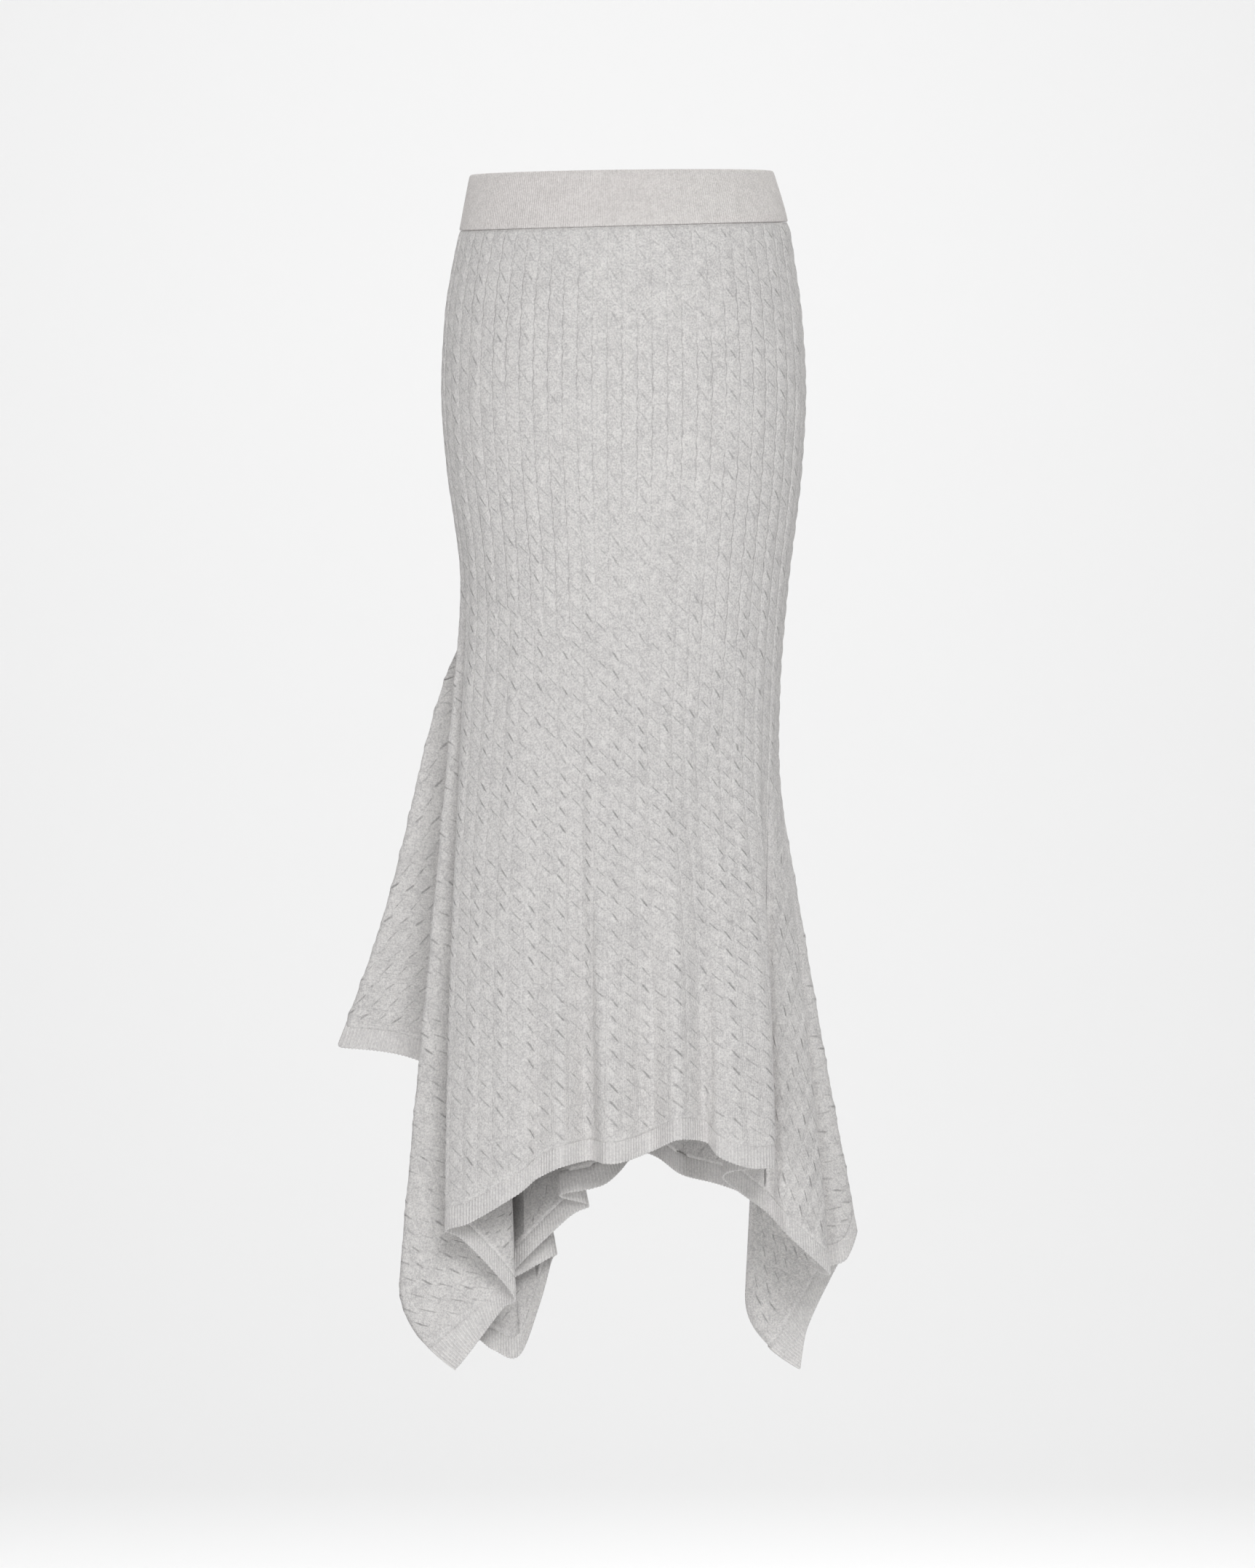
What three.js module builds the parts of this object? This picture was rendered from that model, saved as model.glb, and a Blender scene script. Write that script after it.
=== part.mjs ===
// A cable-knit midi skirt with a rib waistband, a flared lower part in deep folds and a pointed
// handkerchief hem. It keeps the hollow form that it has when it is filled out round the waist and hip.
// Millimetres, +Z up, front towards -Y, origin at the centre of the waistband's top.
import * as THREE from 'three';

// Cloth
const WALL = 2.0;            // knitted wall without its cables
const CABLE_RAISE = 0.9;     // how far a cable stands above the gutters beside it
const WAIST_GAP = 0.3;       // space between the waistband and the panels
const SEAM_GAP = 0.6;        // the same between the panels at a side seam
const RIB_GAP = 1.1;         // the same above the hem rib
const STEEP_HEM = 0.33;      // level run of the steepest hem that the gap above the rib allows for
const BAND_WALL = 3.4;       // the waistband is a rib folded double
const RIB_WALL = 2.0;        // hem rib
const HEM_RIB = 20;          // height of the hem rib

// Where the side seams run, as shares of the way round from the front centre by the left side
const LEFT_SEAM = 0.2505;
const RIGHT_SEAM = 0.744;
const SEAM_FADE = 0.0006;    // half of the step used to measure along a row

// How fine the walls are
const CABLES_ROUND = 32;     // cables round the hip, each with one plain wale beside it
const POINTS_PER_CABLE = 4;
const INNER_STEPS = 32;      // steps of the plain inner face in the upper part of one panel
const UPPER_ROWS = 13;
const UPPER_INNER_ROWS = 9;
const LOWER_ROWS = 11;
const KNEE_ROW = 0.03;       // share of the flare above its first row
const ROW_CROWD = 0.25;      // how much closer the rows of the flare are at its hem
const FOLD_STEP = 13;        // hem length between two points of the lower part
const BAND_STEPS = 84;

// Flare: where it starts, and how its folds grow
const KNEE_LEFT = -400;
const KNEE_RIGHT = -579;
const FLARE_EASE = 1.12;
const LATE_EASE = 1.15;       // for a fold that starts below the knee
const SWING_FROM = 0.87;     // share of the way down a fold at which its point starts to swing
const SWING_EASE = 2.5;
const EARLY_PEAK = 256 / 27; // brings the early shift to its full size a quarter of the way down

// Girth rings from the waist down: height, half widths, half depths, sideways tilt and front dip
const RINGS = [
  { z: -4, left: 145, right: 144, front: 86, back: 92, tilt: 2, dip: 4 },
  { z: -55, left: 155, right: 158, front: 97, back: 106, tilt: 4, dip: 7 },
  { z: -97, left: 163, right: 165, front: 103, back: 116, tilt: 2, dip: 4 },
  { z: -140, left: 169, right: 171, front: 107, back: 123, tilt: 0, dip: 0 },
  { z: -212, left: 172.5, right: 175, front: 109, back: 128, tilt: 0, dip: 0 },
  { z: -290, left: 167, right: 171, front: 106, back: 122, tilt: 0, dip: 0 },
  { z: -335, left: 160.5, right: 166, front: 103, back: 116, tilt: 0, dip: 0 },
  { z: -400, left: 152.5, right: 158, front: 99, back: 108, tilt: 0, dip: 0 },
  { z: -500, left: 151.5, right: 150, front: 96, back: 102, tilt: 0, dip: 0 },
  { z: -580, left: 152, right: 147.5, front: 95, back: 100, tilt: 0, dip: 0 },
];
const BAND_TOP = RINGS[0].z;
const BAND_SEAM = RINGS[1].z;

// Fold lines in order from the front centre round by the left side. Each leaves the knee ring at its
// turn and runs to its point on the hem. One with a from above 0 starts that share of the way down, on
// the cloth between its neighbours. Early moves the first part of it, bow the middle and swing the last
// part, along X.
const FOLDS = [
  { turn: 0.000, x: 0, y: -152, z: -948, from: 0, early: 0, bow: 0, swing: 0 },      // front centre
  { turn: 0.034, x: -16, y: -154, z: -949, from: 0.12, early: 0, bow: 0, swing: 0 },  // soft ridge
  { turn: 0.052, x: -30, y: -130, z: -947, from: 0.12, early: 0, bow: 0, swing: 0 },  // soft groove
  { turn: 0.078, x: -58, y: -151, z: -953, from: 0.12, early: 0, bow: 0, swing: 0 },
  { turn: 0.101, x: -80, y: -139, z: -964, from: 0.2, early: 0, bow: 0, swing: 0 },
  { turn: 0.122, x: -96, y: -148, z: -977, from: 0, early: 0, bow: 0, swing: 0 },
  { turn: 0.180, x: -145, y: -128, z: -1007, from: 0, early: 0, bow: -3, swing: 0 },
  { turn: 0.208, x: -167, y: -107, z: -1016, from: 0, early: 0, bow: -5, swing: 0 }, // left edge
  { turn: 0.214, x: -149, y: -98, z: -1026, from: 0, early: 0, bow: -3, swing: 0 },
  { turn: 0.220, x: -103, y: -82, z: -1079, from: 0, early: 0, bow: 8, swing: 0 },   // folded in behind it
  { turn: 0.224, x: -113, y: -67, z: -1091, from: 0, early: 0, bow: 3, swing: 0 },
  { turn: 0.234, x: -159, y: -45, z: -1151, from: 0, early: 0, bow: -3, swing: 59 }, // left edge and point
  { turn: 0.239, x: -146, y: -24, z: -1121, from: 0, early: 0, bow: 0, swing: 34 },
  { turn: 0.244, x: -124, y: -12, z: -1135, from: 0, early: 0, bow: 0, swing: 0 },
  { turn: 0.250, x: -99, y: 6, z: -1142, from: 0, early: 0, bow: 0, swing: 0 },      // inner point
  { turn: 0.255, x: -80, y: 18, z: -1095, from: 0.45, early: 0, bow: 0, swing: 0 },
  { turn: 0.259, x: -68, y: 22, z: -1052, from: 0.45, early: 0, bow: 0, swing: 0 },  // turned to the front
  { turn: 0.263, x: -66, y: 0, z: -1046, from: 0.45, early: 0, bow: 0, swing: 0 },
  { turn: 0.268, x: -110, y: -26, z: -1066, from: 0.5, early: 0, bow: 0, swing: 0 },
  { turn: 0.273, x: -53, y: -40, z: -1008, from: 0.5, early: 0, bow: 0, swing: 0 },
  { turn: 0.278, x: -32, y: -46, z: -995, from: 0.45, early: 0, bow: 0, swing: 0 },
  { turn: 0.284, x: -59, y: -62, z: -984, from: 0.5, early: 0, bow: 0, swing: 0 },
  { turn: 0.289, x: -17, y: -76, z: -973, from: 0.5, early: 0, bow: 0, swing: 0 },
  { turn: 0.292, x: 3, y: -60, z: -955, from: 0, early: 0, bow: 0, swing: 0 },
  { turn: 0.300, x: 2, y: -30, z: -945, from: 0, early: 0, bow: 0, swing: 0 },
  { turn: 0.307, x: -70, y: 50, z: -925, from: 0, early: -6, bow: 0, swing: 0 },
  { turn: 0.313, x: -200, y: 78, z: -860, from: 0, early: -16, bow: 2, swing: 0 },
  { turn: 0.318, x: -275, y: 92, z: -848, from: 0, early: -20, bow: 3, swing: 0 }, // tip of the left flap
  { turn: 0.328, x: -240, y: 108, z: -838, from: 0, early: -20, bow: 3, swing: 0 },
  { turn: 0.355, x: -150, y: 128, z: -880, from: 0, early: -15, bow: 0, swing: 0 },
  { turn: 0.420, x: -50, y: 150, z: -935, from: 0, early: -5, bow: 0, swing: 0 },
  { turn: 0.500, x: 25, y: 156, z: -955, from: 0, early: 0, bow: 0, swing: 0 },      // back centre
  { turn: 0.570, x: 60, y: 156, z: -976, from: 0, early: 0, bow: 0, swing: 0 },
  { turn: 0.640, x: 104, y: 150, z: -988, from: 0, early: 0, bow: 0, swing: 0 },
  { turn: 0.675, x: 132, y: 142, z: -1000, from: 0, early: 0, bow: 0, swing: 0 },
  { turn: 0.695, x: 164, y: 134, z: -1027, from: 0, early: 0, bow: 0, swing: 0 },
  { turn: 0.722, x: 173, y: 98, z: -1161, from: 0, early: 0, bow: 0, swing: 56 },    // right tail
  { turn: 0.730, x: 180, y: 78, z: -1122, from: 0, early: 0, bow: 0, swing: 20 },
  { turn: 0.738, x: 202, y: 62, z: -1072, from: 0, early: 1, bow: 0, swing: 5 },
  { turn: 0.748, x: 226, y: 14, z: -1023, from: 0, early: 2, bow: 0, swing: 0 },     // right outer edge
  { turn: 0.753, x: 215, y: 2, z: -1050, from: 0.2, early: 0, bow: 0, swing: 0 },
  { turn: 0.758, x: 188, y: -3, z: -1058, from: 0.2, early: 0, bow: 0, swing: 0 },   // behind the ridge
  { turn: 0.765, x: 199, y: -36, z: -1061, from: 0, early: 0, bow: 4, swing: 0 }, // right ridge and point
  { turn: 0.785, x: 159, y: -60, z: -1023, from: 0, early: 0, bow: 0, swing: 0 },
  { turn: 0.794, x: 138, y: -46, z: -1001, from: 0.1, early: 0, bow: 0, swing: 0 },
  { turn: 0.803, x: 96, y: -76, z: -966, from: 0, early: 0, bow: 0, swing: 0 }, // behind the front
  { turn: 0.822, x: 143.5, y: -118, z: -955, from: 0, early: 0, bow: 4, swing: 0 }, // right edge
  { turn: 0.840, x: 122, y: -142, z: -954, from: 0, early: 0, bow: 0, swing: 0 },
  { turn: 0.870, x: 93, y: -148, z: -944, from: 0.12, early: 0, bow: 0, swing: 0 },
  { turn: 0.900, x: 79, y: -130, z: -930, from: 0.12, early: 0, bow: 0, swing: 0 },   // soft groove
  { turn: 0.935, x: 52, y: -155, z: -927, from: 0.12, early: 0, bow: 0, swing: 0 },   // soft ridge
  { turn: 0.968, x: 27, y: -132, z: -939, from: 0.15, early: 0, bow: 0, swing: 0 },  // soft groove
];
const MAIN_FOLDS = FOLDS.filter((fold) => fold.from === 0);

const lerp = (a, b, t) => a + (b - a) * t;
const wrap = (turn) => turn - Math.floor(turn);

// Value of one column of RINGS at a height, on a curve that never overshoots its rows
function ringValue(key, z) {
  const last = RINGS.length - 1;
  const height = THREE.MathUtils.clamp(z, RINGS[last].z, RINGS[0].z);
  let i = 0;
  while (i < last - 1 && RINGS[i + 1].z > height) i += 1;
  const slope = (k) => (RINGS[k + 1][key] - RINGS[k][key]) / (RINGS[k + 1].z - RINGS[k].z);
  const tangent = (k) => {
    if (k === 0) return slope(0);
    if (k === last) return slope(last - 1);
    const before = slope(k - 1);
    const after = slope(k);
    return before * after <= 0 ? 0 : (2 * before * after) / (before + after);
  };
  const step = RINGS[i + 1].z - RINGS[i].z;
  const u = (height - RINGS[i].z) / step;
  const start = RINGS[i][key] * (1 + 2 * u) * (1 - u) ** 2 + tangent(i) * step * u * (1 - u) ** 2;
  const end = RINGS[i + 1][key] * u * u * (3 - 2 * u) + tangent(i + 1) * step * u * u * (u - 1);
  return start + end;
}

// Angle of each share of the hip's girth, so that wales stay evenly spaced round the body
const ANGLES = (() => {
  const steps = 1440;
  const girth = { side: 165, front: 104, back: 118 };
  const lengths = [0];
  let before = [0, -girth.front];
  for (let i = 1; i <= steps; i += 1) {
    const a = (i / steps) * 2 * Math.PI;
    const depth = Math.cos(a) > 0 ? girth.front : girth.back;
    const here = [-Math.sin(a) * girth.side, -Math.cos(a) * depth];
    lengths.push(lengths[i - 1] + Math.hypot(here[0] - before[0], here[1] - before[1]));
    before = here;
  }
  return lengths.map((length) => length / lengths[steps]);
})();

function angleAt(turn) {
  const share = wrap(turn);
  let low = 0;
  let high = ANGLES.length - 1;
  while (high - low > 1) {
    const middle = (low + high) >> 1;
    if (ANGLES[middle] <= share) low = middle;
    else high = middle;
  }
  const part = (share - ANGLES[low]) / (ANGLES[high] - ANGLES[low]);
  return ((low + part) / (ANGLES.length - 1)) * 2 * Math.PI;
}

// Point of the body's ring at a turn and a height
function ringPoint(turn, z) {
  const a = angleAt(turn);
  const side = Math.sin(a) > 0 ? ringValue('left', z) : ringValue('right', z);
  const depth = Math.cos(a) > 0 ? ringValue('front', z) : ringValue('back', z);
  const x = -Math.sin(a) * side;
  const tilt = (ringValue('tilt', z) * x) / RINGS[0].left;
  const dip = ringValue('dip', z) * Math.cos(a);
  return new THREE.Vector3(x, -Math.cos(a) * depth, z + tilt - dip);
}

// The flare starts higher on the left side than on the right
function kneeHeight(turn) {
  const middle = (KNEE_LEFT + KNEE_RIGHT) / 2;
  return middle + ((KNEE_LEFT - KNEE_RIGHT) / 2) * Math.sin(2 * Math.PI * turn);
}

// Point of one fold line, t running from 0 at the knee to 1 at the hem
function foldPoint(fold, t) {
  if (fold.from > 0) return lateFoldPoint(fold, t);
  const start = ringPoint(fold.turn, kneeHeight(fold.turn));
  const ease = Math.max(t, 0) ** FLARE_EASE;
  const swing = Math.max(0, (t - SWING_FROM) / (1 - SWING_FROM)) ** SWING_EASE;
  const bow = 4 * t * (1 - t);
  const early = EARLY_PEAK * t * (1 - t) ** 3;
  const shift = fold.early * early + fold.bow * bow + fold.swing * swing;
  return new THREE.Vector3(
    lerp(start.x, fold.x - fold.swing, ease) + shift,
    lerp(start.y, fold.y, ease),
    lerp(start.z, fold.z, t),
  );
}

// A fold that starts below the knee leaves the cloth between the main folds
function lateFoldPoint(fold, t) {
  const growth = Math.max(0, (t - fold.from) / (1 - fold.from)) ** LATE_EASE;
  const shift = new THREE.Vector3(fold.x, fold.y, fold.z).sub(flarePoint(MAIN_FOLDS, fold.turn, 1));
  return flarePoint(MAIN_FOLDS, fold.turn, t).addScaledVector(shift, growth);
}

// Smooth curve between the second and third of four neighbouring points, given with their turns
function between(points, turns, turn) {
  const [before, start, end, after] = points;
  const [turnBefore, turnStart, turnEnd, turnAfter] = turns;
  const span = turnEnd - turnStart;
  const u = (turn - turnStart) / span;
  const leave = end.clone().sub(before).multiplyScalar(span / (turnEnd - turnBefore));
  const arrive = after.clone().sub(start).multiplyScalar(span / (turnAfter - turnStart));
  return start.clone().multiplyScalar((1 + 2 * u) * (1 - u) ** 2)
    .addScaledVector(leave, u * (1 - u) ** 2)
    .addScaledVector(end, u * u * (3 - 2 * u))
    .addScaledVector(arrive, u * u * (u - 1));
}

// Point of the flare on the smooth curve through a set of folds
function flarePoint(folds, turn, t) {
  const share = wrap(turn);
  const count = folds.length;
  let i = count - 1;
  while (folds[i].turn > share) i -= 1;
  const steps = [-1, 0, 1, 2].map((k) => i + k);
  const points = steps.map((k) => foldPoint(folds[(k + count) % count], t));
  const turns = steps.map((k) => folds[(k + count) % count].turn + Math.floor(k / count));
  return between(points, turns, share);
}

// The middle face of the cloth: level 0 is the waist seam, 1 the knee and 2 the hem
function clothPoint(turn, level) {
  if (level < 1) return ringPoint(turn, lerp(BAND_SEAM, kneeHeight(turn), level));
  return flarePoint(FOLDS, turn, level - 1);
}

// The same face of the waistband: level 0 is its top and 1 its seam
function bandPoint(turn, level) {
  return ringPoint(turn, lerp(BAND_TOP, BAND_SEAM, level));
}

// A point moved off the middle face along its normal
function offsetPoint(face, turn, level, distance) {
  const reach = 0.01;
  const along = face(turn + SEAM_FADE, level).sub(face(turn - SEAM_FADE, level));
  const down = face(turn, level + reach).sub(face(turn, level - reach));
  const normal = along.cross(down).normalize();
  return face(turn, level).addScaledVector(normal, distance);
}

// Turn that lies a length in millimetres beyond another, measured along the row
function turnBeyond(turn, level, length) {
  const ahead = clothPoint(turn + SEAM_FADE, level);
  const behind = clothPoint(turn - SEAM_FADE, level);
  return turn + (length * 2 * SEAM_FADE) / ahead.distanceTo(behind);
}

// Level at which the hem rib starts under a turn
function ribLevel(turn, gap) {
  const length = kneeHeight(turn) - clothPoint(turn, 2).z;
  const edge = clothPoint(turn + SEAM_FADE, 2).sub(clothPoint(turn - SEAM_FADE, 2)).normalize();
  const run = Math.max(STEEP_HEM, Math.hypot(edge.x, edge.y));
  return 2 - (HEM_RIB + gap / run) / length;
}

// Turns of the points of the flared part between two seams, closer where the hem is longer
function foldTurns(start, end) {
  const stops = [start];
  FOLDS.forEach((fold) => {
    [fold.turn, fold.turn + 1].forEach((turn) => {
      if (turn > start + SEAM_FADE && turn < end - SEAM_FADE) stops.push(turn);
    });
  });
  stops.push(end);
  stops.sort((a, b) => a - b);
  const turns = [start];
  for (let i = 1; i < stops.length; i += 1) {
    const length = clothPoint(stops[i], 1.98).distanceTo(clothPoint(stops[i - 1], 1.98));
    const steps = Math.max(1, Math.round(length / FOLD_STEP));
    for (let k = 1; k <= steps; k += 1) turns.push(lerp(stops[i - 1], stops[i], k / steps));
  }
  return turns;
}

function evenTurns(start, end, steps) {
  return Array.from({ length: steps + 1 }, (_, i) => lerp(start, end, i / steps));
}

// Collects points and the triangles between rows of points
class Wall {
  constructor() {
    this.points = [];
    this.index = [];
  }

  // A row keeps the place of each point, so that rows of unlike lengths can be joined
  row(points, places) {
    const first = this.points.length;
    this.points.push(...points);
    return points.map((_, i) => ({ id: first + i, place: places[i] }));
  }

  join(upper, lower, flip) {
    let i = 0;
    let j = 0;
    while (i < upper.length - 1 || j < lower.length - 1) {
      const upperNext = i < upper.length - 1 ? upper[i + 1].place : Infinity;
      const lowerNext = j < lower.length - 1 ? lower[j + 1].place : Infinity;
      const corners = [upper[i].id];
      if (upperNext <= lowerNext) {
        i += 1;
        corners.push(upper[i].id, lower[j].id);
      } else {
        j += 1;
        corners.push(lower[j].id, lower[j - 1].id);
      }
      if (flip) corners.reverse();
      this.index.push(...corners);
    }
  }

  geometry() {
    const shape = new THREE.BufferGeometry();
    const flat = this.points.flatMap((p) => [p.x, p.y, p.z]);
    shape.setAttribute('position', new THREE.Float32BufferAttribute(flat, 3));
    shape.setIndex(this.index);
    shape.computeVertexNormals();
    return shape;
  }
}

// One row of a panel between its side seams, at a level and a distance that may change along it
function seamedRow(wall, turns, levelOf, distanceOf) {
  const last = turns.length - 1;
  const points = turns.map((turn, i) => {
    const level = levelOf(turn);
    let seat = turn;
    if (i === 0) seat = turnBeyond(turn, level, SEAM_GAP / 2);
    if (i === last) seat = turnBeyond(turn, level, -SEAM_GAP / 2);
    return offsetPoint(clothPoint, seat, level, distanceOf(i));
  });
  const cells = wall.row(points, turns);
  const first = { id: cells[0].id, place: levelOf(turns[0]) };
  const end = { id: cells[last].id, place: levelOf(turns[last]) };
  return { cells, first, end };
}

// Closes a panel from its outer and inner rows, with an edge along each side
function closePanel(wall, outer, inner) {
  const loop = [...outer, ...inner.slice().reverse(), outer[0]];
  for (let i = 1; i < loop.length; i += 1) wall.join(loop[i - 1].cells, loop[i].cells, false);
  wall.join(outer.map((row) => row.first), inner.map((row) => row.first), false);
  wall.join(outer.map((row) => row.end), inner.map((row) => row.end), true);
  return wall.geometry();
}

// A panel from the waist seam to the hem rib, between two side seams
function panelGeometry(start, end) {
  const wall = new Wall();
  const steps = Math.round((CABLES_ROUND * POINTS_PER_CABLE) / 2);
  const even = evenTurns(start, end, steps);
  const waves = foldTurns(start, end);
  const topLevel = (turn) => WAIST_GAP / 2 / (BAND_SEAM - kneeHeight(turn));
  const upperLevel = (share) => (turn) => lerp(topLevel(turn), 1, share);
  const flareLevel = (r) => {
    const part = r / LOWER_ROWS;
    const share = lerp(KNEE_ROW, 1, part * (1 + ROW_CROWD - ROW_CROWD * part));
    return (turn) => lerp(1, ribLevel(turn, RIB_GAP), share);
  };
  const cable = (i) => WALL / 2 + (i % POINTS_PER_CABLE > 1 ? CABLE_RAISE : 0);
  const wave = (i) => WALL / 2 + (i % 2 && i < waves.length - 1 ? CABLE_RAISE : 0);
  const plain = () => WALL / 2;
  const inside = () => -WALL / 2;

  const outer = [];
  for (let r = 0; r <= UPPER_ROWS; r += 1) {
    outer.push(seamedRow(wall, even, upperLevel(r / UPPER_ROWS), cable));
  }
  for (let r = 0; r <= LOWER_ROWS; r += 1) {
    outer.push(seamedRow(wall, waves, flareLevel(r), r < LOWER_ROWS ? wave : plain));
  }

  const inner = [];
  for (let r = 0; r <= UPPER_INNER_ROWS; r += 1) {
    const turns = r < UPPER_INNER_ROWS ? evenTurns(start, end, INNER_STEPS) : even;
    inner.push(seamedRow(wall, turns, upperLevel(r / UPPER_INNER_ROWS), inside));
  }
  for (let r = 0; r <= LOWER_ROWS; r += 1) {
    inner.push(seamedRow(wall, waves, flareLevel(r), inside));
  }
  return closePanel(wall, outer, inner);
}

// The rib that edges a panel, between the same side seams
function hemRibGeometry(start, end) {
  const wall = new Wall();
  const turns = foldTurns(start, end);
  const top = (turn) => ribLevel(turn, 0);
  const hem = () => 2;
  const face = (distance) => [top, hem].map((level) => seamedRow(wall, turns, level, () => distance));
  return closePanel(wall, face(RIB_WALL / 2), face(-RIB_WALL / 2));
}

// The waistband, a closed ring with a rounded fold along its top
function waistbandGeometry() {
  const wall = new Wall();
  const turns = evenTurns(0, 1, BAND_STEPS);
  const bottom = 1 - WAIST_GAP / 2 / (BAND_TOP - BAND_SEAM);
  const section = [
    { level: 0, out: BAND_WALL * 0.25 },
    { level: 0.03, out: BAND_WALL / 2 },
    { level: 0.5, out: BAND_WALL / 2 + 0.2 },
    { level: bottom, out: BAND_WALL / 2 },
    { level: bottom, out: -BAND_WALL / 2 },
    { level: 0.03, out: -BAND_WALL / 2 },
    { level: 0, out: -BAND_WALL * 0.25 },
  ];
  const rows = section.map(({ level, out }) => {
    const points = turns.slice(0, -1).map((turn) => offsetPoint(bandPoint, turn, level, out));
    const row = wall.row(points, turns.slice(0, -1));
    return [...row, { id: row[0].id, place: 1 }];
  });
  rows.push(rows[0]);
  for (let i = 1; i < rows.length; i += 1) wall.join(rows[i - 1], rows[i], false);
  return wall.geometry();
}

const group = new THREE.Group();

function addPiece(name, geometry, color) {
  const material = new THREE.MeshStandardMaterial({ color, roughness: 0.95, metalness: 0 });
  const mesh = new THREE.Mesh(geometry, material);
  mesh.name = name;
  group.add(mesh);
}

addPiece('waistband', waistbandGeometry(), 0xcfccca);
addPiece('front_panel', panelGeometry(RIGHT_SEAM - 1, LEFT_SEAM), 0xcdcbca);
addPiece('back_panel', panelGeometry(LEFT_SEAM, RIGHT_SEAM), 0xc9c7c6);
addPiece('hem_rib_front', hemRibGeometry(RIGHT_SEAM - 1, LEFT_SEAM), 0xcbc9c8);
addPiece('hem_rib_back', hemRibGeometry(LEFT_SEAM, RIGHT_SEAM), 0xc7c5c4);

export default group;
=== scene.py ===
# %% [markdown]
# # A cable-knit midi skirt with a handkerchief hem
# A wool skirt hangs in the air as if someone wore it. It fits the waist and hip, narrows to the knee
# and opens below a slanted line into deep folds. The frame below is the fixed model of the same
# skirt: its solids carry mass and collision, and every visible piece is made here on their form.

# %% Load the frame
import math

import bmesh
import bpy
import numpy as np
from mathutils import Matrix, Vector


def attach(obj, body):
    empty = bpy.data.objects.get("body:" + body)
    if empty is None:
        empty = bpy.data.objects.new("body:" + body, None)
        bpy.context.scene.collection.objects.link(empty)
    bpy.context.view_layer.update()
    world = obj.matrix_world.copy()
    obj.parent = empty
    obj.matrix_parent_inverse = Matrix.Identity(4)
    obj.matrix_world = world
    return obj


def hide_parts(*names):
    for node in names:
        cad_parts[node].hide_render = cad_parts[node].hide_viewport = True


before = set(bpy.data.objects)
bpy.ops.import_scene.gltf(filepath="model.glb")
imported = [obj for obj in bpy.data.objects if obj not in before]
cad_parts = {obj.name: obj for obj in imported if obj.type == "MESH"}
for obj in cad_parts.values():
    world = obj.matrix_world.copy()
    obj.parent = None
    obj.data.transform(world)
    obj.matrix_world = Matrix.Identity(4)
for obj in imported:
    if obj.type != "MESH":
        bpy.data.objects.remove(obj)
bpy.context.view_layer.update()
print("solids:", sorted(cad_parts))

# %% [markdown]
# ## Camera
# The picture is 1725 by 2156 pixels and one pixel is 0.70 mm at the skirt's middle. A long lens seven
# metres away, straight on and level with the middle of the picture, keeps the sides of the skirt
# nearly parallel, as a studio picture does.

# %% Camera
PIXEL = 0.70e-3
PICTURE_WIDE = 1725
PICTURE_TALL = 2156
SKIRT_MIDDLE_PX = 855    # column of the picture that the skirt hangs along
WAIST_TOP_PX = 233       # row of the picture that the top of the waistband lies on
CAMERA_DISTANCE = 7.0
AXIS_X = (PICTURE_WIDE / 2 - SKIRT_MIDDLE_PX) * PIXEL
AXIS_Z = -(PICTURE_TALL / 2 - WAIST_TOP_PX) * PIXEL

camera_data = bpy.data.cameras.new("studio_camera")
camera_data.sensor_fit = "VERTICAL"
camera_data.angle = 2 * math.atan(PICTURE_TALL * PIXEL / 2 / CAMERA_DISTANCE)
camera_data.clip_end = 60
camera = bpy.data.objects.new("studio_camera", camera_data)
camera.location = (AXIS_X, -CAMERA_DISTANCE, AXIS_Z)
camera.rotation_euler = (math.pi / 2, 0, 0)
bpy.context.collection.objects.link(camera)
bpy.context.scene.camera = camera
print("field of view", round(math.degrees(camera_data.angle), 2), "degrees")

# %% [markdown]
# ## Nodes and colours
# Every material is made of nodes, and one small function adds a node with its settings and links.
# Colours are written as sRGB hex values, the way a designer picks them, and turned to linear light.

# %% Helpers for materials
def linear(hex_colour):
    parts = [int(hex_colour[i:i + 2], 16) / 255 for i in (1, 3, 5)]
    return [c / 12.92 if c <= 0.04045 else ((c + 0.055) / 1.055) ** 2.4 for c in parts] + [1.0]


def add(tree, kind, settings=None, **inputs):
    node = tree.nodes.new(kind)
    for key, value in (settings or {}).items():
        setattr(node, key, value)
    for key, value in inputs.items():
        slot = node.inputs[int(key[1:])] if key[0] == "i" and key[1:].isdigit() else node.inputs[key]
        if isinstance(value, bpy.types.NodeSocket):
            tree.links.new(value, slot)
        else:
            slot.default_value = value
    return node


def calc(tree, operation, *values):
    inputs = {f"i{k}": value for k, value in enumerate(values)}
    return add(tree, "ShaderNodeMath", {"operation": operation}, **inputs).outputs[0]


def fade(tree, value, start, end, low=1.0, high=0.0):
    inputs = {"Value": value, "From Min": start, "From Max": end, "To Min": low, "To Max": high}
    return add(tree, "ShaderNodeMapRange", {"interpolation_type": "SMOOTHSTEP"}, **inputs).outputs[0]


# %% [markdown]
# ## The studio
# A pale floor runs far below the skirt and sweeps up behind it, so there is no corner and no shadow
# in the picture. The light is soft: a broad lamp in front and above, a weaker one from the left, a
# small low one for the hem, one behind that washes the paper, and a pale world that fills the folds.

# %% Floor and backdrop
FLOOR_Z = -1.75
SWEEP_BACK = 5.0         # where the floor starts to sweep up
SWEEP_RADIUS = 2.0
SWEEP_STEPS = 12
FLOOR_STEPS = 4
PAPER_SIDE = 14          # half of the paper's width
PAPER_FRONT = -11
PAPER_TOP = 9


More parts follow.
